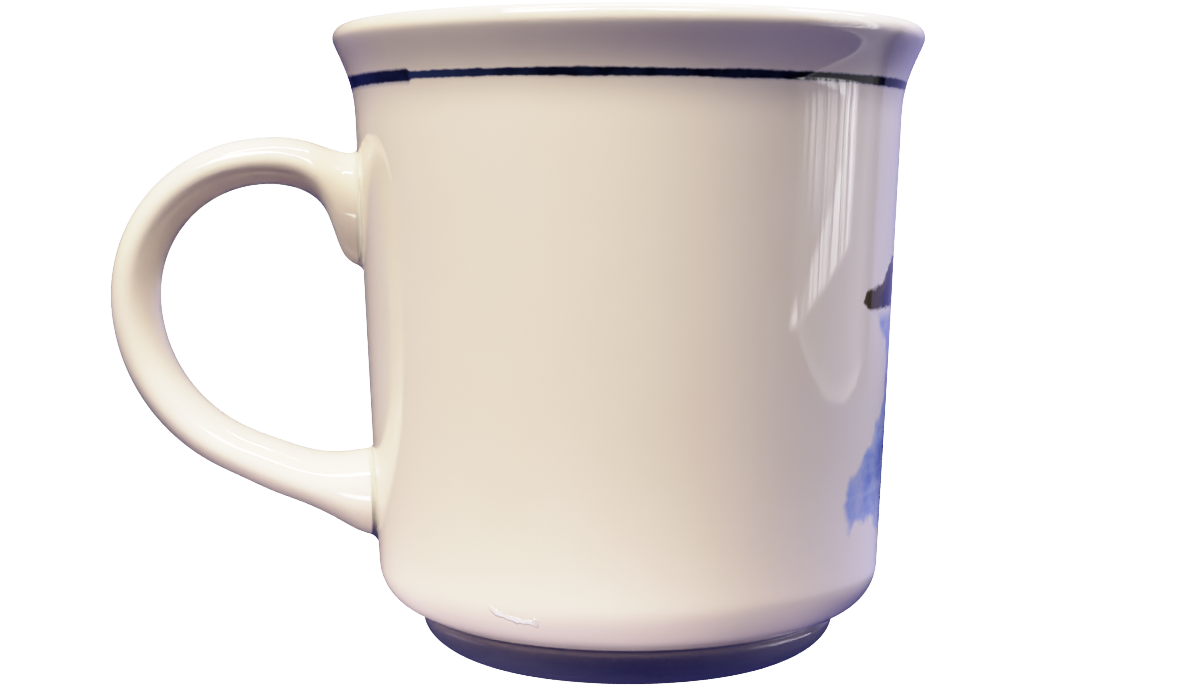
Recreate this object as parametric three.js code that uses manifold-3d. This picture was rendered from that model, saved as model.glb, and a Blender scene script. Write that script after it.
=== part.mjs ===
// A glazed stoneware mug, as the five pieces that a potter puts together before the firing:
// the cast body, the turned foot ring under it, the strap handle, and the two pads of
// joining slip that hold the handle's ends to the wall.
//
// Millimetres, +Z up. The foot stands on the plane z = 0 and the handle points along -X. Every
// piece is drawn round the mug's own axis, and the finished mug is then moved along X, so that
// the origin is under the middle of its outline, handle and all.

import * as THREE from "three";
import { mergeVertices } from "three/addons/utils/BufferGeometryUtils.js";
import Module from "manifold-3d";

const wasm = await Module();
wasm.setup();

// ---- driving dimensions ----

const HEIGHT = 91; // table to the top of the lip
const RIM_RADIUS = 43; // the flared lip at its widest
const LIP_ROUND = 1.8; // round on the lip, half the lip's thickness
const WALL = 3.6; // thickness of the wall

const FOOT_HEIGHT = 6.3;
const FOOT_BASE_RADIUS = 24.2; // outer edge of the face that stands on the table
const FOOT_TOP_RADIUS = 30.6; // where the foot ring meets the body
const FOOT_SWELL = { radius: 29.6, z: 1.9 }; // pulls the outer side out between those two
const FOOT_RING_WIDTH = 3.4; // of the face that stands on the table
const FOOT_EDGE = 0.5; // bevel along the inner edge of that face

const SHOULDER_SLOPE = THREE.MathUtils.degToRad(25); // the underside, above level
const SHOULDER_ROUND = 7; // from the underside up into the wall
const WALL_START_RADIUS = 36.9; // the wall above the shoulder widens steadily
const FLARE_START_Z = 76; // and then flares out to the lip
const FLARE_START_RADIUS = 39.7;
const FLARE_LEAN = THREE.MathUtils.degToRad(25); // of the lip, from upright

const FLOOR_Z = 10.5; // inside, so the floor is 4.2 mm thick
const INNER_CORNER = 10; // round between the floor and the inner wall

const STRAP_THICKNESS = 7;
const STRAP_HALF_WIDTH = 6.3; // in the loop
const ROOT_HALF_WIDTH = 7.4; // where it meets the wall
const UPPER_BEND = { x: -53, z: 52, radius: 20 }; // centreline of the loop's upper bend
const LOWER_BEND = { x: -48, z: 52, radius: 25 };
const LOWER_BEND_END = THREE.MathUtils.degToRad(251);

const SLIP = 0.9; // thickness of the joining slip
const SLIP_SPREAD = 1.2; // how far it squeezes out round the handle's root
const GAP = 0.3; // between two pieces that follow one curved face

// ---- fineness ----

const TURN_SIDES = 48;
const STRAP_SIDES = 20;
const ROOT_STEPS = 10;
const BEND_STEPS = 9;
const PROFILE_STEPS = 6;

// ---- worked out ----

const halfThickness = STRAP_THICKNESS / 2;
const reach = UPPER_BEND.radius + halfThickness - UPPER_BEND.x; // from the axis to the loop's edge
const axisX = (reach - RIM_RADIUS) / 2;

// The underside rises on one slope from the foot's top to the shoulder's round.
const undersideEndRadius = WALL_START_RADIUS - SHOULDER_ROUND * (1 - Math.sin(SHOULDER_SLOPE));
const undersideEndZ = FOOT_HEIGHT
  + (undersideEndRadius - FOOT_TOP_RADIUS) * Math.tan(SHOULDER_SLOPE);
const wallStartZ = undersideEndZ + SHOULDER_ROUND * Math.cos(SHOULDER_SLOPE);

// ---- materials ----

const glaze = new THREE.MeshStandardMaterial({ color: "#e9e1d6", roughness: 0.12, metalness: 0 });
const bareClay = new THREE.MeshStandardMaterial({ color: "#b3a695", roughness: 0.85, metalness: 0 });

// ---- helpers ----

// A closed geometry as a manifold-3d solid.
function solidOf(geometry) {
  const bare = geometry.clone();
  bare.deleteAttribute("normal");
  bare.deleteAttribute("uv");
  const merged = mergeVertices(bare, 1e-4);
  const mesh = new wasm.Mesh({
    numProp: 3,
    vertProperties: merged.attributes.position.array,
    triVerts: new Uint32Array(merged.index.array),
  });
  return new wasm.Manifold(mesh);
}

// A manifold-3d solid as a geometry.
function geometryOf(solid) {
  const mesh = solid.getMesh();
  const geometry = new THREE.BufferGeometry();
  geometry.setAttribute("position", new THREE.BufferAttribute(mesh.vertProperties, 3));
  geometry.setIndex(new THREE.BufferAttribute(mesh.triVerts, 1));
  geometry.computeVertexNormals();
  return geometry;
}

// A profile of (radius, height) points turned round the mug's axis.
function turned(points) {
  return new THREE.LatheGeometry(points, TURN_SIDES).rotateX(Math.PI / 2);
}

function piece(name, geometry, material) {
  const mesh = new THREE.Mesh(geometry, material);
  mesh.name = name;
  return mesh;
}

// ---- the body ----

// The outer radius of the tapered wall at a height.
function wallRadius(z) {
  const share = (z - wallStartZ) / (FLARE_START_Z - wallStartZ);
  return THREE.MathUtils.lerp(WALL_START_RADIUS, FLARE_START_RADIUS, share);
}

// From the centre of the underside, out over the shoulder, up the wall and over the lip,
// and down the inner wall to the centre of the floor.
function bodyProfile() {
  const along = new THREE.Vector2(Math.sin(FLARE_LEAN), Math.cos(FLARE_LEAN));
  const outwards = new THREE.Vector2(along.y, -along.x);
  const lip = new THREE.Vector2(RIM_RADIUS - LIP_ROUND, HEIGHT - LIP_ROUND);
  const lipOuter = outwards.clone().multiplyScalar(LIP_ROUND).add(lip);
  const lipInner = outwards.clone().multiplyScalar(-LIP_ROUND).add(lip);
  const flarePull = 5; // how far the lip's lean carries down the flare
  const wallPull = 6; // and the wall's line up it
  const innerFlareRadius = FLARE_START_RADIUS - WALL;
  const innerRoundZ = FLOOR_Z + INNER_CORNER;
  const innerRoundRadius = wallRadius(innerRoundZ) - WALL;

  const path = new THREE.Path();
  path.moveTo(0, FOOT_HEIGHT);
  path.lineTo(FOOT_TOP_RADIUS, FOOT_HEIGHT);
  path.lineTo(undersideEndRadius, undersideEndZ);
  path.absarc(
    WALL_START_RADIUS - SHOULDER_ROUND, wallStartZ, SHOULDER_ROUND,
    SHOULDER_SLOPE - Math.PI / 2, 0, false,
  );
  path.lineTo(FLARE_START_RADIUS, FLARE_START_Z);
  path.bezierCurveTo(
    FLARE_START_RADIUS, FLARE_START_Z + wallPull,
    lipOuter.x - flarePull * along.x, lipOuter.y - flarePull * along.y,
    lipOuter.x, lipOuter.y,
  );
  path.absarc(lip.x, lip.y, LIP_ROUND, -FLARE_LEAN, Math.PI - FLARE_LEAN, false);
  path.bezierCurveTo(
    lipInner.x - flarePull * along.x, lipInner.y - flarePull * along.y,
    innerFlareRadius, FLARE_START_Z + wallPull,
    innerFlareRadius, FLARE_START_Z,
  );
  path.lineTo(innerRoundRadius, innerRoundZ);
  path.absarc(
    innerRoundRadius - INNER_CORNER, innerRoundZ, INNER_CORNER, 0, -Math.PI / 2, true,
  );
  path.lineTo(0, FLOOR_Z);
  return path.getPoints(PROFILE_STEPS);
}

// ---- the foot ring ----

// A closed ring: the outer side swells out from the standing face up to the body, and the
// standing face has a bevel along its inner edge.
function footProfile() {
  const inner = FOOT_BASE_RADIUS - FOOT_RING_WIDTH;
  const lean = 0.6; // of the inner side, which narrows upwards
  const swell = new THREE.QuadraticBezierCurve(
    new THREE.Vector2(FOOT_BASE_RADIUS, 0),
    new THREE.Vector2(FOOT_SWELL.radius, FOOT_SWELL.z),
    new THREE.Vector2(FOOT_TOP_RADIUS, FOOT_HEIGHT),
  );
  return [
    new THREE.Vector2(inner, FOOT_EDGE),
    new THREE.Vector2(inner + FOOT_EDGE, 0),
    ...swell.getPoints(PROFILE_STEPS),
    new THREE.Vector2(inner - lean, FOOT_HEIGHT),
    new THREE.Vector2(inner, FOOT_EDGE),
  ];
}

// ---- the handle ----

const point = (x, z) => new THREE.Vector2(x, z);

// An arc of the loop, seen from the side, at a distance from the strap's centreline.
function bendRail(bend, offset, from, to) {
  const radius = bend.radius + offset;
  return new THREE.EllipseCurve(bend.x, bend.z, radius, radius, from, to, false);
}

// The strap is lofted between two rails in the XZ plane: the outer one round the outside of
// the loop, and the inner one on the finger's side. Each stretch has its own pair of curves.
// At the upper root the strap deepens downwards into a heel, and at the lower one into a tail.
const upperRoot = {
  outer: new THREE.SplineCurve([
    point(-34, 73), point(-39.5, 73), point(-42.2, 73.4), point(-44.5, 74.1),
    point(-47.5, 75.1), point(UPPER_BEND.x, UPPER_BEND.z + UPPER_BEND.radius + halfThickness),
  ]),
  inner: new THREE.SplineCurve([
    point(-34, 55), point(-40.4, 56.8), point(-42.5, 59.4), point(-43.9, 63.9),
    point(-47, 67.4), point(UPPER_BEND.x, UPPER_BEND.z + UPPER_BEND.radius - halfThickness),
  ]),
  steps: ROOT_STEPS,
};
const upperBend = {
  outer: bendRail(UPPER_BEND, halfThickness, Math.PI / 2, Math.PI),
  inner: bendRail(UPPER_BEND, -halfThickness, Math.PI / 2, Math.PI),
  steps: BEND_STEPS,
};
const lowerBend = {
  outer: bendRail(LOWER_BEND, halfThickness, Math.PI, LOWER_BEND_END),
  inner: bendRail(LOWER_BEND, -halfThickness, Math.PI, LOWER_BEND_END),
  steps: BEND_STEPS,
};
const lowerRoot = {
  outer: new THREE.SplineCurve([
    lowerBend.outer.getPoint(1), point(-50, 21.9), point(-45.4, 19.9), point(-40.6, 17.2),
    point(-34, 14.5),
  ]),
  inner: new THREE.SplineCurve([
    lowerBend.inner.getPoint(1), point(-50, 29.8), point(-45.5, 28.9), point(-40.5, 29.2),
    point(-34, 30.5),
  ]),
  steps: ROOT_STEPS,
};

// The points of one rail over some stretches, without the doubled ends.
function rail(stretches, side) {
  return stretches.flatMap((stretch, i) => stretch[side].getPoints(stretch.steps).slice(i ? 1 : 0));
}

// The strap's half width, which grows from the loop to the roots.
function halfWidth(x) {
  const share = THREE.MathUtils.smoothstep(x, UPPER_BEND.x, -WALL_START_RADIUS - 2);
  return THREE.MathUtils.lerp(STRAP_HALF_WIDTH, ROOT_HALF_WIDTH, share);
}

// The strap over some stretches, grown all round: a closed cylinder whose rings are carried
// to the stations of the loop, each one an oval between the two rails.
function strap(stretches, grow = 0) {
  const outer = rail(stretches, "outer");
  const inner = rail(stretches, "inner");
  const last = outer.length - 1;
  const geometry = new THREE.CylinderGeometry(1, 1, last, STRAP_SIDES, last);
  const position = geometry.attributes.position;
  for (let i = 0; i < position.count; i++) {
    const station = Math.round(last / 2 - position.getY(i));
    const centre = outer[station].clone().add(inner[station]).multiplyScalar(0.5);
    const depth = outer[station].clone().sub(centre);
    depth.setLength(depth.length() + grow);
    const across = position.getX(i);
    const sideways = position.getZ(i) * (halfWidth(centre.x) + grow);
    position.setXYZ(i, centre.x + depth.x * across, sideways, centre.y + depth.y * across);
  }
  return solidOf(geometry);
}

// The tapered wall grown by a distance, as a plain solid to cut with.
function wallSolid(grow) {
  const low = 5;
  const high = 85;
  const cone = new THREE.CylinderGeometry(
    wallRadius(high) + grow, wallRadius(low) + grow, high - low, TURN_SIDES,
  );
  return solidOf(cone.rotateX(Math.PI / 2).translate(0, 0, (low + high) / 2));
}

// A pad of slip between the wall and one root, as wide as the root with the slip pressed out.
function slipPad(root) {
  const shell = wallSolid(GAP + SLIP).subtract(wallSolid(GAP));
  return geometryOf(strap([root], SLIP_SPREAD).intersect(shell));
}

const handle = strap([upperRoot, upperBend, lowerBend, lowerRoot])
  .subtract(wallSolid(2 * GAP + SLIP));

// ---- the mug ----

const mug = new THREE.Group();
mug.add(
  piece("mug_body", turned(bodyProfile()), glaze),
  piece("foot_ring", turned(footProfile()), bareClay),
  piece("handle", geometryOf(handle), glaze),
  piece("upper_slip_joint", slipPad(upperRoot), glaze),
  piece("lower_slip_joint", slipPad(lowerRoot), glaze),
);

mug.position.x = axisX;

export default mug;
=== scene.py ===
import math

import bpy
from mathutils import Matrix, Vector
from mathutils.bvhtree import BVHTree


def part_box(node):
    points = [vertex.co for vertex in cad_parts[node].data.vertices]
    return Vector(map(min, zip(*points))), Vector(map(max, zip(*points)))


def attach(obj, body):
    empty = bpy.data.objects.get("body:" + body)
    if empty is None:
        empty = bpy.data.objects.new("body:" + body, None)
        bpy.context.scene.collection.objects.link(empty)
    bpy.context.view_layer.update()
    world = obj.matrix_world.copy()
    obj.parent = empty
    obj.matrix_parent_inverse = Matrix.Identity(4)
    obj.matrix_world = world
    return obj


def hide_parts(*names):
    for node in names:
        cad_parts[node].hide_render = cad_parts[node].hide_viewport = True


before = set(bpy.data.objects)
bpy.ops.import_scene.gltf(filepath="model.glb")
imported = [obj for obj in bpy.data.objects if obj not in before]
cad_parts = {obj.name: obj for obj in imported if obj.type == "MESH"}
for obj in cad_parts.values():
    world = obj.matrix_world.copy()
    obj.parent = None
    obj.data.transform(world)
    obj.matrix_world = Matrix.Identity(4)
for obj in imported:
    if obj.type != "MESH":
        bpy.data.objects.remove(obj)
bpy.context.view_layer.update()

# ======== The camera ========
# It stands close in front of the cup, a little below the height of the lip, and is tipped down
# by a few degrees. The cup's own axis is beside the frame's origin, as the handle counts there.

mm = 0.001
cup_low, cup_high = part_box("mug_body")
axis = Vector(((cup_low.x + cup_high.x) / 2, (cup_low.y + cup_high.y) / 2, 0))
camera_distance = 279.4 * mm
camera_height = 67.9 * mm
tipped_down = math.radians(4.81)
turned_left = math.radians(0.84)
lens_length = 56.8  # in millimetres

bpy.ops.object.camera_add(
    location=(axis.x, axis.y - camera_distance, camera_height),
    rotation=(math.radians(90) - tipped_down, 0, turned_left),
)
camera = bpy.context.object
camera.name = "camera"
camera.data.lens = lens_length
camera.data.clip_start = 10 * mm
bpy.context.scene.camera = camera

# ======== The cup ========
# One shape thrown in white stoneware: a level underside, a rounded shoulder, a wall that widens
# steadily, a flare, and a round lip that comes back down inside as the inner wall and the floor.
# It is drawn up ring by ring, as on the wheel, then glazed and painted by hand.

foot_top_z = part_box("foot_ring")[1].z
foot_top_radius = 30.6 * mm
level_radius = 29.7 * mm  # the underside is level as far as this, under the foot
shoulder_slope = math.radians(25)
shoulder_round = 7 * mm
wall_start_radius = 36.9 * mm
wall_thickness = 3.6 * mm
flare_radius = 39.7 * mm
flare_z = 76 * mm
lip_round = 1.8 * mm
lip_lean = math.radians(25)
lip_radius = (cup_high.x - cup_low.x) / 2 - lip_round
lip_z = cup_high.z - lip_round
floor_z = 10.5 * mm
floor_round = 10 * mm
underside_rings = (4, 12, 19, 25)  # radii in millimetres, from the middle outwards
floor_rings = (19, 12, 4)  # and from the wall inwards


def round_stretch(centre, radius, start, end, steps):
    """Points along an arc of a profile, from one angle to another."""
    turns = [start + (end - start) * i / steps for i in range(steps + 1)]
    return [(centre[0] + radius * math.cos(a), centre[1] + radius * math.sin(a)) for a in turns]


def swept_stretch(start, start_pull, end_pull, end, steps):
    """Points along a curve that leaves its start towards one point and arrives from another."""
    points = []
    for i in range(steps + 1):
        t = i / steps
        weights = ((1 - t) ** 3, 3 * t * (1 - t) ** 2, 3 * t * t * (1 - t), t ** 3)
        pulls = (start, start_pull, end_pull, end)
        points.append(tuple(sum(w * p[k] for w, p in zip(weights, pulls)) for k in (0, 1)))
    return points


def straight_stretch(start, end, steps):
    """Points inside a straight line, without its two ends."""
    shares = [i / steps for i in range(1, steps)]
    return [tuple(a + (b - a) * s for a, b in zip(start, end)) for s in shares]


def deselect_all():
    """Leaves edit mode and clears the selection, because an operator acts on all of it."""
    if bpy.context.object and bpy.context.object.mode != "OBJECT":
        bpy.ops.object.mode_set(mode="OBJECT")
    bpy.ops.object.select_all(action="DESELECT")


def throw_rings(name, profile, sides, closed_start):
    """Draws a ring up through the (radius, height) points of a profile, about the cup's axis."""
    deselect_all()
    radius, height = profile[0]
    bpy.ops.mesh.primitive_circle_add(
        vertices=sides, radius=radius, location=(axis.x, axis.y, height),
        fill_type="NGON" if closed_start else "NOTHING",
    )
    piece = bpy.context.object
    piece.name = name
    piece.data.name = name
    bpy.ops.object.mode_set(mode="EDIT")
    for next_radius, next_height in profile[1:]:
        bpy.ops.mesh.extrude_edges_move(
            TRANSFORM_OT_translate={"value": (0, 0, next_height - height)}
        )
        wider = next_radius / radius
        bpy.ops.transform.resize(
            value=(wider, wider, 1), center_override=(axis.x, axis.y, next_height)
        )
        radius, height = next_radius, next_height
    return piece


def tidy_mesh(piece):
    """Merges doubles, turns every face outwards and puts the piece's place into its mesh."""
    bpy.ops.mesh.select_all(action="SELECT")
    bpy.ops.mesh.remove_doubles(threshold=0.001 * mm)
    bpy.ops.mesh.normals_make_consistent(inside=False)
    bpy.ops.object.mode_set(mode="OBJECT")
    bpy.ops.object.transform_apply(location=True, rotation=True, scale=True)


def smooth_finish(piece, levels):
    """Subdivides a piece for good and shades it smooth."""
    subdivision = piece.modifiers.new("round", "SUBSURF")
    subdivision.levels = levels
    subdivision.render_levels = levels
    bpy.ops.object.modifier_apply(modifier=subdivision.name)
    bpy.ops.object.shade_smooth()


def underside(radius):
    """The height of the cup's sloping underside."""
    return foot_top_z + (radius - foot_top_radius) * math.tan(shoulder_slope)


seat_z = underside(level_radius)
shoulder_start = wall_start_radius - shoulder_round * (1 - math.sin(shoulder_slope))
shoulder_z = underside(shoulder_start)
wall_start_z = shoulder_z + shoulder_round * math.cos(shoulder_slope)


def wall_radius(z):
    """The outer radius of the steadily widening wall."""
    share = (z - wall_start_z) / (flare_z - wall_start_z)
    return wall_start_radius + (flare_radius - wall_start_radius) * share


lean = Vector((math.sin(lip_lean), math.cos(lip_lean)))
lip_out = Vector((lip_radius, lip_z)) + lip_round * Vector((lean.y, -lean.x))
lip_in = Vector((lip_radius, lip_z)) - lip_round * Vector((lean.y, -lean.x))
flare_pull = 5 * mm
wall_pull = 6 * mm
inner_flare = (flare_radius - wall_thickness, flare_z)
inner_wall = (wall_radius(floor_z + floor_round) - wall_thickness, floor_z + floor_round)

cup_profile = (
    [(r * mm, seat_z) for r in underside_rings]
    + [(level_radius, seat_z)]
    + straight_stretch((level_radius, seat_z), (shoulder_start, shoulder_z), 3)
    + round_stretch(
        (wall_start_radius - shoulder_round, wall_start_z), shoulder_round,
        shoulder_slope - math.pi / 2, 0, 8,
    )
    + straight_stretch((wall_start_radius, wall_start_z), (flare_radius, flare_z), 9)
    + swept_stretch(
        (flare_radius, flare_z), (flare_radius, flare_z + wall_pull),
        lip_out - flare_pull * lean, lip_out, 7,
    )
    + round_stretch((lip_radius, lip_z), lip_round, -lip_lean, math.pi - lip_lean, 8)[1:]
    + swept_stretch(
        lip_in, lip_in - flare_pull * lean,
        (inner_flare[0], flare_z + wall_pull), inner_flare, 6,
    )[1:]
    + straight_stretch(inner_flare, inner_wall, 7)
    + round_stretch(
        (inner_wall[0] - floor_round, inner_wall[1]), floor_round, 0, -math.pi / 2, 7
    )
    + [(r * mm, floor_z) for r in floor_rings]
)
cup = throw_rings("cup", cup_profile, sides=72, closed_start=True)
bpy.ops.mesh.edge_face_add()
tidy_mesh(cup)

hand_wobble = bpy.data.textures.new("hand_wobble", "CLOUDS")
hand_wobble.noise_scale = 26 * mm
hand_wobble.noise_depth = 0
uneven = cup.modifiers.new("uneven", "DISPLACE")
uneven.texture = hand_wobble
uneven.texture_coords = "LOCAL"
uneven.strength = 0.14 * mm
uneven.mid_level = 0.5
bpy.ops.object.modifier_apply(modifier=uneven.name)
smooth_finish(cup, 2)


def start_group(name, inputs, outputs):
    """An empty shader node group with named sockets: the group, what comes in, what goes out."""
    group = bpy.data.node_groups.new(name, "ShaderNodeTree")
    for in_out, sockets in (("INPUT", inputs), ("OUTPUT", outputs)):
        for socket, kind in sockets.items():
            group.interface.new_socket(
                name=socket, in_out=in_out, socket_type="NodeSocket" + kind
            )
    comes_in = group.nodes.new("NodeGroupInput").outputs
    goes_out = group.nodes.new("NodeGroupOutput").inputs
    return group, comes_in, goes_out


def connect(tree, value, socket):
    """Feeds a socket with a number or colour, with an Amount, or with another node's output."""
    if isinstance(value, Amount):
        value = value.socket
    if isinstance(value, bpy.types.NodeSocket):
        tree.links.new(value, socket)
    else:
        socket.default_value = value


def add_node(tree, kind, values, **settings):
    """Adds a shader node with its settings, and fills its inputs."""
    made = tree.nodes.new("ShaderNode" + kind)
    for setting, value in settings.items():
        setattr(made, setting, value)
    for socket, value in values.items():
        connect(tree, value, made.inputs[socket])
    return made


class Amount:
    """A number that changes over a surface. Sums and products of it become Math nodes."""

    def __init__(self, tree, socket):
        self.tree = tree
        self.socket = socket

    def maths(self, operation, *others):
        values = dict(enumerate((self, *others)))
        made = add_node(self.tree, "Math", values, operation=operation)
        return Amount(self.tree, made.outputs[0])

    def __add__(self, other):
        return self.maths("ADD", other)

    def __sub__(self, other):
        return self.maths("SUBTRACT", other)

    def __rsub__(self, other):
        return self * -1 + other

    def __mul__(self, other):
        return self.maths("MULTIPLY", other)

    def __truediv__(self, other):
        return self.maths("DIVIDE", other)

    def size(self):
        return self.maths("ABSOLUTE")

    def least(self, other):
        return self.maths("MINIMUM", other)

    def most(self, other):
        return self.maths("MAXIMUM", other)

    def fade(self, start, end, low=0.0, high=1.0):
        """Goes smoothly from low to high as the number goes from start to end."""
        values = {0: self, 1: start, 2: end, 3: low, 4: high}
        made = add_node(self.tree, "MapRange", values, interpolation_type="SMOOTHSTEP")
        return Amount(self.tree, made.outputs[0])


def mix_colors(tree, share, first, second):
    """Goes from the first colour to the second as the share goes from 0 to 1."""
    made = add_node(tree, "Mix", {0: share, 6: first, 7: second}, data_type="RGBA")
    return made.outputs[2]


def clouds(tree, place, scale, detail=2.0):
    """Soft noise from 0 to 1, at so many features to the unit of place."""
    made = add_node(tree, "TexNoise", {"Vector": place, "Scale": scale, "Detail": detail})
    return Amount(tree, made.outputs[0])


def split_place(tree, place):
    """The three coordinates of a place, or of a direction."""
    parts = add_node(tree, "SeparateXYZ", {0: place}).outputs
    return [Amount(tree, part) for part in parts]


def around_axis(tree, place):
    """The angle about the cup's axis, the height, and the distance from the axis."""
    x, y, height = split_place(tree, place)
    return y.maths("ARCTAN2", x), height, (x * x + y * y).maths("SQRT")


def paint(red, green, blue):
    """A colour given as on a screen, 0 to 255, as the linear colour that a shader takes."""
    return (*(((c / 255 + 0.055) / 1.055) ** 2.4 for c in (red, green, blue)), 1)


# The glaze itself: faint warm clouding, a few iron specks and pinholes, and a skin that is never
# quite flat. Relief is in millimetres.
glaze_skin, comes_in, goes_out = start_group(
    "glaze_skin",
    {"Place": "Vector", "Glaze": "Color", "Thin Glaze": "Color"},
    {"Color": "Color", "Roughness": "Float", "Relief": "Float"},
)
place = comes_in["Place"]
clouding = clouds(glaze_skin, place, 42, 3).fade(0.3, 0.75)
color = mix_colors(glaze_skin, clouding, comes_in["Glaze"], comes_in["Thin Glaze"])
cells = add_node(glaze_skin, "TexVoronoi", {"Vector": place, "Scale": 95})
kinds = add_node(glaze_skin, "SeparateColor", {0: cells.outputs["Color"]}).outputs
kind = Amount(glaze_skin, kinds[0])
size = Amount(glaze_skin, kinds[1]).fade(0, 1, 0.008, 0.024)
spot = (Amount(glaze_skin, cells.outputs["Distance"]) / size).fade(1, 0.6)
speck = spot * kind.fade(0.62, 0.63) * 0.5
pinhole = spot * kind.fade(0.25, 0.24)
color = mix_colors(glaze_skin, speck, color, paint(112, 98, 88))
waves = clouds(glaze_skin, place, 70, 1) * 0.035
peel = clouds(glaze_skin, place, 900, 1) * 0.0014
gloss = clouds(glaze_skin, place, 230).fade(0.3, 0.7, 0.02, 0.04)
connect(glaze_skin, color, goes_out["Color"])
connect(glaze_skin, gloss, goes_out["Roughness"])
connect(glaze_skin, waves + peel - pinhole * 0.05, goes_out["Relief"])

# The line under the lip, drawn with a loaded brush while the cup turned: it starts as a dark
# blot beside the handle, runs thin and pale just after it, and fills again further round.
brushed_line, comes_in, goes_out = start_group(
    "brushed_line",
    {"Place": "Vector", "Under": "Color", "Line Height": "Float", "Half Width": "Float"},
    {"Color": "Color"},
)
place = comes_in["Place"]
angle, height, radius = around_axis(brushed_line, place)
sideways = split_place(brushed_line, place)[0]
outside = radius.fade(38.2 * mm, 38.4 * mm)
drift = (clouds(brushed_line, place, 24, 1) - 0.5) * (0.5 * mm)
above = height - (drift - sideways * 0.006 + comes_in["Line Height"])
ragged = (clouds(brushed_line, place, 900, 3) - 0.5) * (0.3 * mm)
blot = angle.fade(math.radians(-134.5), math.radians(-136.5))
pressure = clouds(brushed_line, place, 55).fade(0.3, 0.7, 0.82, 1.12)
width = pressure * blot.fade(0, 1, 1, 1.75) * comes_in["Half Width"]
core = ((above.size() + ragged) / width).fade(1.2, 0.6)
bleed = (above + width * 1.55).fade(0, 0.75 * mm) * above.fade(0.3 * mm, 0.1 * mm) * 0.42
filling = angle.fade(math.radians(-133), math.radians(-100), 0.25, 1)
running_dry = angle.fade(math.radians(-40), math.radians(-5), 1, 0.8)
streaks = clouds(brushed_line, place, 320, 3).fade(0.35, 0.65, 0.78, 1)
strength = (filling * running_dry).most(blot) * streaks
ink = mix_colors(brushed_line, strength, paint(58, 74, 118), paint(3, 8, 26))
rust = blot * above.fade(0, 0.9 * mm, 0, 0.6)
ink = mix_colors(brushed_line, rust, ink, paint(30, 27, 20))
ink = mix_colors(brushed_line, core.fade(0.25, 0.95), paint(44, 66, 138), ink)
color = mix_colors(brushed_line, core.most(bleed) * outside, comes_in["Under"], ink)
connect(brushed_line, color, goes_out["Color"])

# The scene painted on the side away from the handle: headlands with rusty crests over a blue
# wash of water, laid on wet and left to spread. It is drawn flat, as on paper wrapped round
# the wall, in millimetres across and up.
wash_scene, comes_in, goes_out = start_group(
    "wash_scene", {"Place": "Vector", "Under": "Color"}, {"Color": "Color"}
)
angle, height, radius = around_axis(wash_scene, comes_in["Place"])
outside = radius.fade(36.2 * mm, 36.4 * mm)
scene_middle = math.radians(25)
paper_radius = 39  # of the wall that the paper is wrapped round, in millimetres
across = (angle - scene_middle) * paper_radius
up = height / mm
paper = add_node(wash_scene, "CombineXYZ", {0: across, 1: up}).outputs[0]


def rough(scale, size, detail=3, shift=0):
    """Noise on the paper, from minus to plus half the size."""
    moved = add_node(wash_scene, "VectorMath", {0: paper, 1: (shift, shift, 0)}).outputs[0]
    return (clouds(wash_scene, moved, scale, detail) - 0.5) * size


edge = rough(0.16, 11)
lobe_height = 17
lobes = (up - 41) * (math.pi / lobe_height)
left_edge = lobes.maths("COSINE") * 7 - 35.5
sides = (across - left_edge + edge).least(43 - across + edge)
inside = sides.least(up - 20 + edge * 1.3).least(51 - up)
wash = inside.fade(-0.4, 2.2) * clouds(wash_scene, paper, 0.3, 4).fade(0.35, 0.75, 1, 0.72)
deep = (inside + rough(0.11, 16, shift=40)).fade(4, 13)
stretched = add_node(
    wash_scene, "VectorMath", {0: paper, 1: (0.22, 1, 1)}, operation="MULTIPLY"
).outputs[0]
ripples = clouds(wash_scene, stretched, 0.34, 3).fade(0.42, 0.66, 0, 0.55)
water = mix_colors(wash_scene, deep, paint(150, 166, 214), paint(72, 96, 188))
water = mix_colors(wash_scene, ripples, water, paint(176, 190, 226))
color = mix_colors(wash_scene, wash, comes_in["Under"], water)

# Each crest is a sum of slopes, from one place across to another and from height to height.
far_crest = across.fade(-22, 4, 44, 66) + across.fade(24, 46, 0, -24)
far_crest = far_crest + rough(0.13, 11, 4, 7)
far_shape = (far_crest - up).least(up - 51).fade(-0.5, 1.6)
color = mix_colors(wash_scene, far_shape * 0.8, color, paint(126, 142, 190))
waterline = rough(0.9, 1.2, shift=11) + across.fade(-37, -41, 51.2, 52.6)


def headland(under, crest, earth, rusty, softness):
    """A hill from the waterline up to its crest, with a rusty upper edge."""
    shape = (crest - up).least(up - waterline).fade(-softness, softness)
    rust = (crest - up).fade(2.2, 0.6).most(rusty)
    tone = mix_colors(wash_scene, rust, earth, paint(92, 80, 62))
    return mix_colors(wash_scene, shape, under, tone)


near_crest = across.fade(-43, -38, 48, 54.4) + across.fade(-34, -27, 0, 4)
near_crest = near_crest + across.fade(-27, -12, 0, 2.5) + across.fade(-4, 18, 0, -15)
near_crest = near_crest + rough(0.5, 2.4, 4, 3)
tip = (across + rough(0.7, 5, shift=17)).fade(-31, -35)
color = headland(color, near_crest, paint(8, 18, 66), tip, 0.35)
right_crest = across.fade(14, 44, 46, 61) + across.fade(43, 49, 0, -18)
color = headland(color, right_crest + rough(0.35, 3.6, 4, 23), paint(30, 46, 112), 0.0, 0.45)
color = mix_colors(wash_scene, outside, comes_in["Under"], color)
connect(wash_scene, color, goes_out["Color"])


def use_group(tree, group, values):
    """Places a node group in a material with its own values."""
    made = tree.nodes.new("ShaderNodeGroup")
    made.node_tree = group
    for socket, value in values.items():
        connect(tree, value, made.inputs[socket])
    return made.outputs


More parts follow.
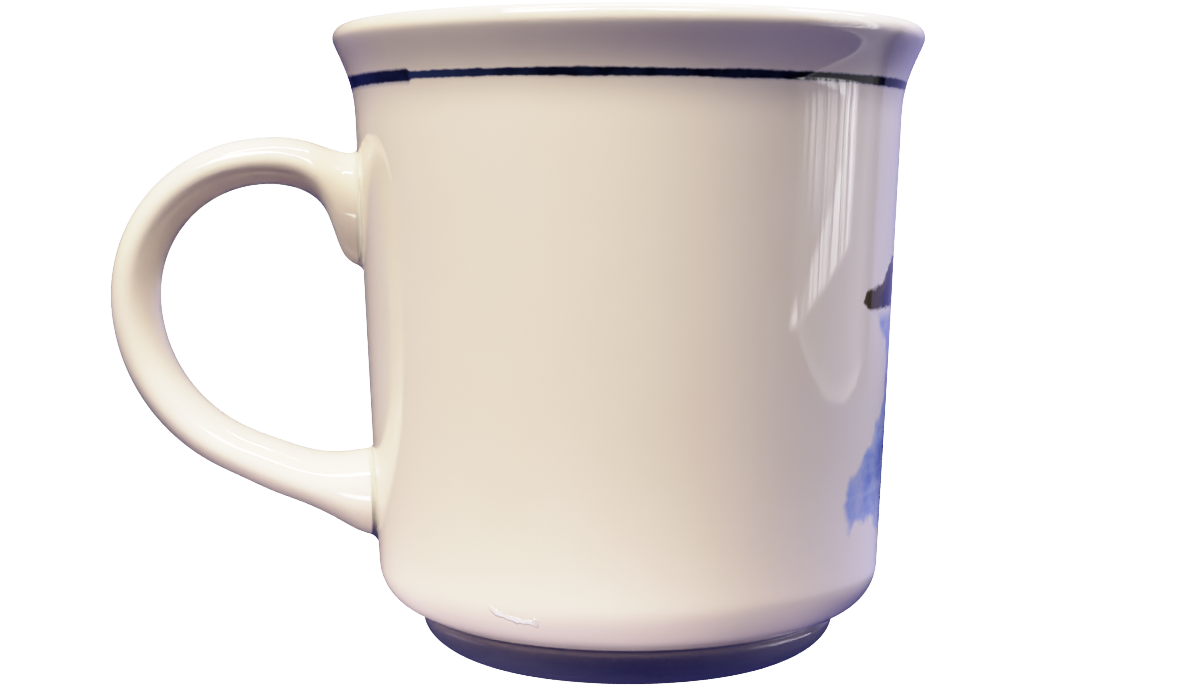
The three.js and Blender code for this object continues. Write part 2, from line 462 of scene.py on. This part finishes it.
def start_ceramic(name):
    """A fired ceramic finish: the material, its tree, its surface, and places about the axis."""
    material = bpy.data.materials.new(name)
    material.use_nodes = True
    tree = material.node_tree
    surface = tree.nodes["Principled BSDF"]
    surface.inputs["IOR"].default_value = 1.52
    coordinates = tree.nodes.new("ShaderNodeTexCoord")
    centred = add_node(
        tree, "Mapping", {"Vector": coordinates.outputs["Object"], "Location": -axis}
    )
    return material, tree, surface, centred.outputs[0]


def glaze_over(tree, surface, place, glaze, thin_glaze, relief=0.0):
    """Coats the surface with glaze: its gloss, its uneven skin, and the colour to paint on."""
    skin = use_group(tree, glaze_skin, {"Place": place, "Glaze": glaze, "Thin Glaze": thin_glaze})
    height = Amount(tree, skin["Relief"]) + relief
    bump = add_node(tree, "Bump", {"Height": height, "Distance": mm})
    connect(tree, skin["Roughness"], surface.inputs["Roughness"])
    connect(tree, bump.outputs[0], surface.inputs["Normal"])
    return skin["Color"]


warm_white = paint(240, 232, 217)
thin_white = paint(238, 228, 211)
cup_glaze, tree, surface, place = start_ceramic("cup_glaze")
angle, height, radius = around_axis(tree, place)

# A raised scar in the glaze low on the wall: a short sagging stroke, with the places along it and
# up from it in millimetres. Its near-white colour is a painted highlight on the ridge.
scar_angle = math.radians(-114.4)
scar_height = 11.0
scar_radius = 36.5  # of the wall there
scar_along = (angle - scar_angle) * scar_radius
scar_up = height / mm - scar_height + scar_along * 0.2 - scar_along * scar_along * 0.045
scar_up = scar_up + (clouds(tree, place, 700, 3) - 0.5) * 1.5
scar_and_highlight = scar_up.size().fade(0.55, 0.25) * scar_along.size().fade(3.9, 2.4)
scar_and_highlight = scar_and_highlight * radius.fade(33 * mm, 34 * mm)
color = glaze_over(tree, surface, place, warm_white, thin_white, scar_and_highlight * 0.45)
# Painted highlight: the scar is whitened as if its ridge caught the light.
color = mix_colors(tree, scar_and_highlight, color, paint(255, 254, 252))
color = use_group(tree, wash_scene, {"Place": place, "Under": color})[0]
line = {"Place": place, "Under": color, "Line Height": 82.5 * mm, "Half Width": 0.64 * mm}
color = use_group(tree, brushed_line, line)[0]
connect(tree, color, surface.inputs["Base Color"])
cup.data.materials.append(cup_glaze)

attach(cup, "root")
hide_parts("mug_body")

# ======== The foot ring ========
# The ring of clay that the cup stands on, turned true after the cup has stiffened. Its side swells
# out upwards to a narrow crease under the cup, and the face that stands is wiped bare of glaze.

foot_radius = 24.6 * mm  # the outer edge of the face that stands
foot_inner = 20.8 * mm
foot_edge = 0.5 * mm
sunk = 0.25 * mm  # how far the ring's top reaches into the cup's underside
inner_side = [(foot_inner - 0.5 * mm, 3.4 * mm), (foot_inner - 0.1 * mm, 1.4 * mm)]
standing_face = [(22 * mm, 0), (23.6 * mm, 0)]
swell_low = (27.4 * mm, 0.85 * mm)  # the side leaves the standing face towards this
swell_high = (30.1 * mm, 2.7 * mm)  # and comes up to its widest place from this
swell_end = (30.42 * mm, 4.9 * mm)
rounded_top = [(30.38 * mm, 5.3 * mm), (30.15 * mm, 5.62 * mm), (29.95 * mm, 5.82 * mm)]
crease_radius = 30.05 * mm
crease_top = level_radius + 0.55 * mm

foot_profile = (
    [(foot_inner - 0.6 * mm, seat_z + sunk)]
    + inner_side
    + round_stretch((foot_inner + foot_edge, foot_edge), foot_edge, math.pi, 1.5 * math.pi, 4)
    + standing_face
    + swept_stretch((foot_radius, 0.02 * mm), swell_low, swell_high, swell_end, 9)
    + rounded_top
    + [(crease_radius, underside(crease_radius) - 0.02 * mm)]
    + [(crease_top, underside(crease_top) + 0.03 * mm)]
    + [(crease_top - 0.5 * mm, seat_z + sunk)]
)
foot = throw_rings("foot", foot_profile, sides=72, closed_start=False)
bpy.ops.mesh.select_all(action="DESELECT")
bpy.ops.mesh.select_non_manifold(extend=False)
bpy.ops.mesh.bridge_edge_loops()
tidy_mesh(foot)
smooth_finish(foot, 2)

# The foot's glaze is painted greyer than the cup's: painted shade that keeps the foot dark under
# the cup.
shaded_foot_glaze, tree, surface, place = start_ceramic("shaded_foot_glaze")
color = glaze_over(tree, surface, place, paint(212, 206, 206), paint(202, 196, 200))
height = split_place(tree, place)[2]
grit = clouds(tree, place, 2600, 3)
wiped = (height + (clouds(tree, place, 380, 3) - 0.5) * (0.7 * mm)).fade(0.62 * mm, 0.42 * mm)
clay = mix_colors(tree, grit.fade(0.35, 0.7), paint(186, 168, 144), paint(150, 130, 108))
clay = mix_colors(tree, clouds(tree, place, 160, 4).fade(0.5, 0.72), clay, paint(128, 112, 96))
connect(tree, mix_colors(tree, wiped, color, clay), surface.inputs["Base Color"])
connect(tree, wiped.fade(0, 1, 0.09, 0.85), surface.inputs["Roughness"])
foot.data.materials.append(shaded_foot_glaze)

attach(foot, "root")
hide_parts("foot_ring")

# ======== The handle ========
# A strap of clay, oval in section, bent into one loop. Its upper end is pressed down the wall
# into a heel, and its lower end runs out into a shorter tail. Both ends are let into the wall.

half_strap = 3.5 * mm
loop_half_width = 6.3 * mm
root_half_width = 7.4 * mm
upper_bend = (-53 * mm, 52 * mm, 20 * mm)  # x and z from the axis, and the centreline's radius
lower_bend = (-48 * mm, 52 * mm, 25 * mm)
lower_bend_end = math.radians(251)
widening_start = -53 * mm  # x from the axis, where the strap starts to widen towards its ends
widening_length = 14 * mm
heel_start = -54 * mm  # x from the axis, where the heel starts to narrow
heel_length = 10 * mm
heel_top = 74 * mm
heel_fall = 18 * mm
heel_lowest = 50 * mm  # below this the strap is the tail, which keeps its width
heel_pinch = 0.4  # the share of its width that the heel has lost at its lower end

# Each ring of the strap is given by the place of its outer and of its finger side, as x from the
# axis and height in millimetres, from the upper end to the loop and from the loop to the lower end.
heel = [
    ((-37.4, 73.1), (-37.4, 55.9)), ((-39.4, 73.1), (-39.6, 56.3)), ((-40.5, 73.1), (-40.7, 56.8)),
    ((-41.5, 73.2), (-41.7, 57.6)), ((-42.5, 73.4), (-42.5, 59.2)), ((-43.6, 73.7), (-43.3, 61.9)),
    ((-45.0, 74.2), (-44.1, 64.3)), ((-46.8, 74.8), (-45.6, 66.3)), ((-49.0, 75.3), (-48.0, 67.7)),
    ((-51.2, 75.5), (-50.6, 68.3)),
]
tail = [
    ((-53.6, 23.2), (-51.8, 30.6)), ((-50.4, 22.0), (-49.0, 29.6)), ((-47.6, 21.0), (-46.4, 29.0)),
    ((-45.0, 19.8), (-44.2, 28.8)), ((-42.8, 18.6), (-42.3, 28.9)), ((-41.0, 17.5), (-40.8, 29.1)),
    ((-39.6, 16.8), (-39.5, 29.3)), ((-37.6, 16.2), (-37.6, 29.5)), ((-35.2, 15.8), (-35.2, 29.7)),
]


def bend_rings(bend, start, end, steps):
    """Rings square to the strap round one bend."""
    x, z, radius = bend
    rings = []
    for i in range(steps + 1):
        turn = start + (end - start) * i / steps
        toward = Vector((math.cos(turn), math.sin(turn)))
        centre = Vector((x, z)) + toward * radius
        rings.append((centre + toward * half_strap, centre - toward * half_strap))
    return rings


heel_rings = [(Vector(outer) * mm, Vector(finger) * mm) for outer, finger in heel]
tail_rings = [(Vector(outer) * mm, Vector(finger) * mm) for outer, finger in tail]
strap_rings = (
    heel_rings
    + bend_rings(upper_bend, math.pi / 2, math.pi, 8)
    + bend_rings(lower_bend, math.pi, lower_bend_end, 8)[1:]
    + tail_rings
)


def strap_half_width(x):
    """The strap widens from the loop towards its two ends."""
    share = min(max((x - widening_start) / widening_length, 0), 1)
    return loop_half_width + (root_half_width - loop_half_width) * share * share * (3 - 2 * share)


def heel_narrowing(x, z):
    """The heel is widest where the strap comes in, and narrows down the wall."""
    inward = min(max((x - heel_start) / heel_length, 0), 1)
    down = min(max((heel_top - z) / heel_fall, 0), 1) if z > heel_lowest else 0
    return 1 - heel_pinch * inward * down


def ring_shape(ring):
    """A ring's centre, its turn about Y, its half thickness and its half width."""
    outer, finger = ring
    centre = (outer + finger) / 2
    depth = (outer - finger) / 2
    turn = math.atan2(-depth.y, depth.x)
    return (
        Vector((axis.x + centre.x, axis.y, centre.y)), turn, depth.length,
        strap_half_width(centre.x),
    )


deselect_all()
centre, turn, thick, wide = ring_shape(strap_rings[0])
bpy.ops.mesh.primitive_circle_add(
    vertices=28, radius=thick, fill_type="NGON", location=centre, rotation=(0, turn, 0)
)
handle = bpy.context.object
handle.name = "strap_handle"
handle.data.name = "strap_handle"
bpy.ops.object.mode_set(mode="EDIT")
bpy.ops.transform.resize(value=(1, wide / thick, 1), center_override=centre)
for ring in strap_rings[1:]:
    next_centre, next_turn, next_thick, next_wide = ring_shape(ring)
    bpy.ops.mesh.extrude_edges_move(TRANSFORM_OT_translate={"value": next_centre - centre})
    twist = (next_turn - turn + math.pi) % (2 * math.pi) - math.pi
    bpy.ops.transform.rotate(value=-twist, orient_axis="Y", center_override=next_centre)
    thicker, wider = next_thick / thick, next_wide / wide
    bpy.ops.transform.resize(value=(thicker, wider, thicker), center_override=next_centre)
    centre, turn, thick, wide = next_centre, next_turn, next_thick, next_wide
bpy.ops.mesh.edge_face_add()
tidy_mesh(handle)
for vertex in handle.data.vertices:
    vertex.co.y *= heel_narrowing(vertex.co.x - axis.x, vertex.co.z)
smooth_finish(handle, 2)

handle_glaze, tree, surface, place = start_ceramic("handle_glaze")
color = glaze_over(tree, surface, place, warm_white, paint(237, 227, 210))
connect(tree, color, surface.inputs["Base Color"])
handle.data.materials.append(handle_glaze)

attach(handle, "root")
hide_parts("handle")

# ======== The joints ========
# Slip, which is clay let down with water, holds each end of the strap to the wall. What is
# pressed out round the end is wiped into a small hollow fillet, where the glaze pools.


def nearest_on(piece):
    """Finds the nearest place on a piece's surface, and the direction that it faces there."""
    tree = BVHTree.FromObject(piece, bpy.context.evaluated_depsgraph_get())

    def look(point):
        return tree.find_nearest(point)[:2]

    return look


on_cup = nearest_on(cup)
on_handle = nearest_on(handle)

slip_reach = 0.9 * mm  # how far the fillet reaches at the strap's sides
slip_end_reach = 1.7 * mm  # and at the middle of its top and bottom
slip_sections = 96
slip_steps = 8
buried = 0.04 * mm  # how far the fillet's edges lie under the skin of what they meet
slip_depth = 0.5 * mm  # and how far the fillet reaches in behind the seam


def strap_skin(ring, turned):
    """A place on the strap's skin, at one angle round one of its rings."""
    centre, turn, thick, wide = ring_shape(ring)
    place = centre + Vector((math.cos(turn), 0, -math.sin(turn))) * thick * math.cos(turned)
    place.y += wide * math.sin(turned) * heel_narrowing(place.x - axis.x, place.z)
    return place


def where_lifted(rings, turned, wanted):
    """Follows the strap's skin towards the cup until it stands off the wall by the wanted lift."""
    last_point, last_lift = None, 0
    for ring in rings:
        point = strap_skin(ring, turned)
        found, facing = on_cup(point)
        lift = (point - found).dot(facing) - wanted
        if lift < 0:
            return last_point.lerp(point, last_lift / (last_lift - lift))
        last_point, last_lift = point, lift
    return last_point


def slip_fillet(name, rings):
    """Lays slip round an end of the strap, given the strap's rings from the loop to the wall."""
    turns = [2 * math.pi * i / slip_sections for i in range(slip_sections)]
    contacts = [where_lifted(rings, turned, 0) for turned in turns]
    middle = sum(contacts, Vector()) / slip_sections
    points = []
    for i, turned in enumerate(turns):
        contact = contacts[i]
        reach = slip_reach + (slip_end_reach - slip_reach) * math.cos(turned) ** 6
        wall_facing = on_cup(contact)[1]
        along_seam = contacts[(i + 1) % slip_sections] - contacts[i - 1]
        outward = along_seam.cross(wall_facing).normalized()
        if outward.dot(contact - middle) < 0:
            outward = -outward
        upper, upper_facing = on_handle(where_lifted(rings, turned, reach))
        lower, lower_facing = on_cup(contact + outward * reach)
        upper = upper - upper_facing * buried
        lower = lower - lower_facing * buried
        for step in range(slip_steps + 1):
            t = step / slip_steps
            points.append(upper * (1 - t) ** 2 + contact * 2 * t * (1 - t) + lower * t * t)
        points.append(contact - (wall_facing + outward) * slip_depth)
    around = slip_steps + 2
    faces = []
    for i in range(slip_sections):
        here, there = i * around, (i + 1) % slip_sections * around
        for k in range(around):
            k_next = (k + 1) % around
            faces.append((here + k, here + k_next, there + k_next, there + k))
    mesh = bpy.data.meshes.new(name)
    mesh.from_pydata(points, [], faces)
    fillet = bpy.data.objects.new(name, mesh)
    bpy.context.collection.objects.link(fillet)
    deselect_all()
    bpy.context.view_layer.objects.active = fillet
    fillet.select_set(True)
    bpy.ops.object.mode_set(mode="EDIT")
    tidy_mesh(fillet)
    bpy.ops.object.shade_smooth_by_angle(angle=math.radians(50))
    return fillet


joint_glaze, tree, surface, place = start_ceramic("pooled_glaze")
color = glaze_over(tree, surface, place, paint(238, 232, 220), paint(226, 225, 209))
connect(tree, color, surface.inputs["Base Color"])

for end, rings in (("upper", heel_rings[::-1]), ("lower", tail_rings)):
    fillet = slip_fillet(end + "_slip", rings)
    fillet.data.materials.append(joint_glaze)
    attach(fillet, "root")
    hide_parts(end + "_slip_joint")

# ======== The table and the light ========
# A sheet of card that lies on the table and sweeps up behind the mug. Daylight comes from windows
# at the upper left, front right and back right, two long tubes shine in the glaze from overhead,
# and a curtain gleams in it at the right.

deselect_all()
sheet_half = 1.4
sweep_height = 1.6
sweep_round = 0.7
bpy.ops.mesh.primitive_plane_add(size=2 * sheet_half, location=(axis.x, 0, 0))
card = bpy.context.object
card.name = "card_sweep"
bpy.ops.object.mode_set(mode="EDIT")
bpy.ops.mesh.select_all(action="DESELECT")
bpy.ops.object.mode_set(mode="OBJECT")
for edge in card.data.edges:
    edge.select = all(card.data.vertices[v].co.y > 0 for v in edge.vertices)
bpy.ops.object.mode_set(mode="EDIT")
bpy.ops.mesh.select_mode(type="EDGE")
bpy.ops.mesh.extrude_edges_move(TRANSFORM_OT_translate={"value": (0, 0, sweep_height)})
bpy.ops.mesh.select_all(action="DESELECT")
bpy.ops.object.mode_set(mode="OBJECT")
for edge in card.data.edges:
    ends = [card.data.vertices[v].co for v in edge.vertices]
    edge.select = all(end.y > sheet_half - mm and end.z < mm for end in ends)
bpy.ops.object.mode_set(mode="EDIT")
bpy.ops.mesh.bevel(offset=sweep_round, segments=24)
bpy.ops.object.mode_set(mode="OBJECT")
bpy.ops.object.shade_smooth()

# The card is white to look at. What the mug gets back from it is painted light and shade that the
# card gives off: deep blue painted shade round the mug, and paler painted light where the windows'
# light would reach the card before, beside and behind it.
card_finish = bpy.data.materials.new("card")
card_finish.use_nodes = True
tree = card_finish.node_tree
tree.nodes.clear()
coordinates = tree.nodes.new("ShaderNodeTexCoord")
on_card = add_node(tree, "Mapping", {"Vector": coordinates.outputs["Object"], "Location": -axis})
angle, _, radius = around_axis(tree, on_card.outputs[0])
to_back = angle.maths("SINE")  # 1 behind the mug, -1 in front of it
to_right = angle.maths("COSINE")
near_light = radius.fade(0.055, 0.075) * radius.fade(0.15, 0.09) * to_back.fade(0.1, -0.5)
right_light = radius.fade(0.045, 0.06) * radius.fade(0.18, 0.1) * to_right.fade(0.3, 0.8)
back_light = radius.fade(0.15, 0.6) * to_back.fade(-0.3, 0.3) * to_right.fade(-0.6, 0.5)
far_left = radius.fade(0.12, 0.4) * to_back.fade(-0.2, 0.2) * to_right.fade(-0.5, -0.8)
bounced = (0.012, 0.014, 0.13, 1)  # in the shade of the mug itself
for share, lit in (
    (near_light, (0.26, 0.19, 0.26, 1)),
    (right_light, (0.36, 0.35, 0.7, 1)),
    (back_light, (0.3, 0.28, 0.6, 1)),
    (far_left, (0.08, 0.09, 0.42, 1)),
):
    bounced = mix_colors(tree, share, bounced, lit)
tint = add_node(tree, "Emission", {"Color": bounced, "Strength": 1.0})
pale = add_node(tree, "BsdfDiffuse", {"Color": (0.9, 0.9, 0.9, 1)})
glow = add_node(tree, "Emission", {"Color": (1, 1, 1, 1), "Strength": 8.0})
seen = add_node(tree, "MixShader", {0: 0.6, 1: pale.outputs[0], 2: glow.outputs[0]})
path = add_node(tree, "LightPath", {})
both = add_node(
    tree, "MixShader", {0: path.outputs["Is Camera Ray"], 1: tint.outputs[0], 2: seen.outputs[0]}
)
add_node(tree, "OutputMaterial", {"Surface": both.outputs[0]})
card.data.materials.append(card_finish)

world = bpy.data.worlds.new("room")
world.use_nodes = True
bpy.context.scene.world = world
tree = world.node_tree
direction = tree.nodes.new("ShaderNodeTexCoord").outputs["Generated"]
sideways, _, upward = split_place(tree, direction)
room_side = sideways.fade(0.45, 0.95)
room = mix_colors(tree, room_side, (0.025, 0.027, 0.2, 1), (0.12, 0.11, 0.26, 1))
room = mix_colors(tree, upward.fade(0.05, 0.25), room, (0.03, 0.03, 0.04, 1))
room = mix_colors(tree, upward.fade(0.5, 0.95), room, (0.14, 0.12, 0.1, 1))
path = add_node(tree, "LightPath", {})
room = mix_colors(tree, path.outputs["Is Camera Ray"], room, (5, 5, 5, 1))
connect(tree, room, tree.nodes["Background"].inputs["Color"])


def lamp(name, place, aim, size, power, color, breadth=None):
    """A soft flat lamp that faces the place it is aimed at."""
    facing = (Vector(aim) - Vector(place)).to_track_quat("-Z", "Y").to_euler()
    bpy.ops.object.light_add(type="AREA", location=place, rotation=facing)
    light = bpy.context.object
    light.name = name
    light.data.shape = "RECTANGLE"
    light.data.size = breadth or size
    light.data.size_y = size
    light.data.energy = power
    light.data.color = color
    light.visible_camera = False
    return light


# Places are given from the cup's axis, in metres, and powers in watts.
middle = (axis.x, 0, 0.05)
for name, place, size, power, color in (
    ("window", (-0.48, -0.53, 1.08), 0.5, 27, (1, 0.9, 0.73)),
    ("front_window", (0.32, -0.62, 1.05), 0.4, 7.5, (0.98, 0.91, 0.82)),
    ("right_window", (0.7, 0.42, 0.95), 0.4, 22, (0.8, 0.8, 1)),
):
    lamp(name, axis + Vector(place), middle, size, power, color)

tube_power = 220  # for each metre of a tube's width
tube_length = 1.0
for name, place, width in (
    ("high_tube", (-0.1, 0.15, 1), 0.05),
    ("low_tube", (-0.1, -0.5, 0.9), 0.07),
):
    power = tube_power * width
    tube = lamp(name, axis + Vector(place), middle, width, power, (1, 0.97, 0.92), tube_length)
    tube.visible_diffuse = False


def light_only(light, piece):
    """Keeps a lamp's light to one piece of the mug, and gives back the group that holds it."""
    lit = bpy.data.collections.new("lit_by_" + light.name)
    lit.objects.link(piece)
    light.light_linking.receiver_collection = lit
    return lit


bounce_size = 24 * mm
bounce_lean = 0.2


def light_from_the_card(piece, turned, distance, height, power, color):
    """Light that comes back up from the card to one piece of the mug, from one side of it."""
    toward = Vector((math.cos(math.radians(turned)), math.sin(math.radians(turned)), 0))
    place = axis + toward * distance + Vector((0, 0, height))
    aim = place + Vector((0, 0, 1)) - toward * bounce_lean
    bounce = lamp("card_bounce", place, aim, bounce_size, power * mm, color)
    bounce.visible_glossy = False
    bounce.light_linking.blocker_collection = light_only(bounce, piece)


# Warm on the side of the windows and bluish on the other. The foot is lit from lower down, as from
# under the card, which casts no shadow on this light.
cup_bounce = 44 * mm
foot_bounce = 55 * mm
foot_bounce_z = -50 * mm
for turned, power in ((-172, 3.2), (-150, 4.4), (-118, 3.9), (-88, 3.4), (-58, 1.6)):
    light_from_the_card(cup, turned, cup_bounce, mm, power, (1, 0.86, 0.87))
for turned, power in ((-36, 1.1), (-12, 1.3)):
    light_from_the_card(cup, turned, cup_bounce, mm, power, (0.6, 0.58, 1))
for turned, power in ((-165, 5), (-145, 2.5), (-12, 1.6)):
    light_from_the_card(foot, turned, foot_bounce, foot_bounce_z, power, (1, 0.93, 0.93))

# A weak light on the handle's tail from low in front, and one at each side of the foot.
tail_from = axis + Vector((-0.055, -0.1, 0.004))
tail_aim = axis + Vector((-0.05, 0, 0.022))
low_glow = lamp("low_glow", tail_from, tail_aim, 0.03, 0.008, (1, 0.88, 0.84))
low_glow.data.spread = math.radians(44)
light_only(low_glow, handle)

foot_aim = axis + Vector((0, 0, 0.003))
for name, side, power in (("left_glow", -1, 0.014), ("right_glow", 1, 0.034)):
    place = axis + Vector((side * 0.16, 0.01, 0.012))
    side_glow = lamp(name, place, foot_aim, 0.02, power, (0.95, 0.9, 1), 0.1)
    light_only(side_glow, foot)

# A curtain at the right, which shows only as a soft gleam in the glaze. Its light is drawn in
# degrees about the cup and millimetres up: a gathered part that slants, a part that hangs
# straight above it, and a thin veil over both that ends in a bowed hem.
deselect_all()
bpy.ops.mesh.primitive_plane_add(
    size=1, location=(axis.x + 0.2, 0, 0.16), rotation=(math.radians(90), 0, math.radians(-90))
)
curtain = bpy.context.object
curtain.name = "curtain"
curtain.scale = (0.22, 0.3, 1)
bpy.ops.object.transform_apply(location=True, rotation=True, scale=True)
curtain_light = bpy.data.materials.new("curtain")
curtain_light.use_nodes = True
tree = curtain_light.node_tree
tree.nodes.clear()
coordinates = tree.nodes.new("ShaderNodeTexCoord")
on_curtain = add_node(
    tree, "Mapping", {"Vector": coordinates.outputs["Object"], "Location": -axis}
)
angle, height, _ = around_axis(tree, on_curtain.outputs[0])
folds = add_node(tree, "CombineXYZ", {0: angle * 36, 1: height * 10}).outputs[0]
ruffle = clouds(tree, folds, 1, 4) - 0.5
turned = angle * (180 / math.pi) + ruffle * 9
height = height / mm
slant = (height - 22) * 0.6 - 25
gathered = (turned - slant.most(-24).least(0)).fade(-1.5, 2)
gathered = gathered * (((height - 24) * 1.25 - 20).least(8) - turned).fade(-1, 3)
hanging = turned.fade(-21, -18) * turned.fade(11, 4) * height.fade(42, 66)
hem = height - (turned - 3) * (turned - 3) * 0.024 - 9
veil = turned.fade(-25, -21) * turned.fade(25, 16) * hem.fade(-1, 1) * hem.fade(7, 2, 1, 1.8)
threads = ruffle.fade(-0.12, 0.12, 0.1, 1.9)
gleam = (gathered * 2.6 + hanging * 1.6) * threads + veil * 0.7
glow = add_node(tree, "Emission", {"Color": (1, 0.97, 0.96, 1), "Strength": gleam})
add_node(tree, "OutputMaterial", {"Surface": glow.outputs[0]})
curtain.data.materials.append(curtain_light)
curtain.visible_camera = False
curtain.visible_diffuse = False
curtain.visible_shadow = False

# The print: highlights roll off softly to white, and deep shade stays deep.
view = bpy.context.scene.view_settings
view.view_transform = "Standard"
view.use_curve_mapping = True
brightest = 4.0
view.curve_mapping.white_level = (brightest, brightest, brightest)
tone = view.curve_mapping.curves[3]
for given, shown in (
    (0.025, 0.014), (0.1, 0.075), (0.15, 0.125), (0.25, 0.24), (0.5, 0.5),
    (0.72, 0.69), (1, 0.83), (1.4, 0.9), (2, 0.95),
):
    tone.points.new(given / brightest, shown)
view.curve_mapping.update()
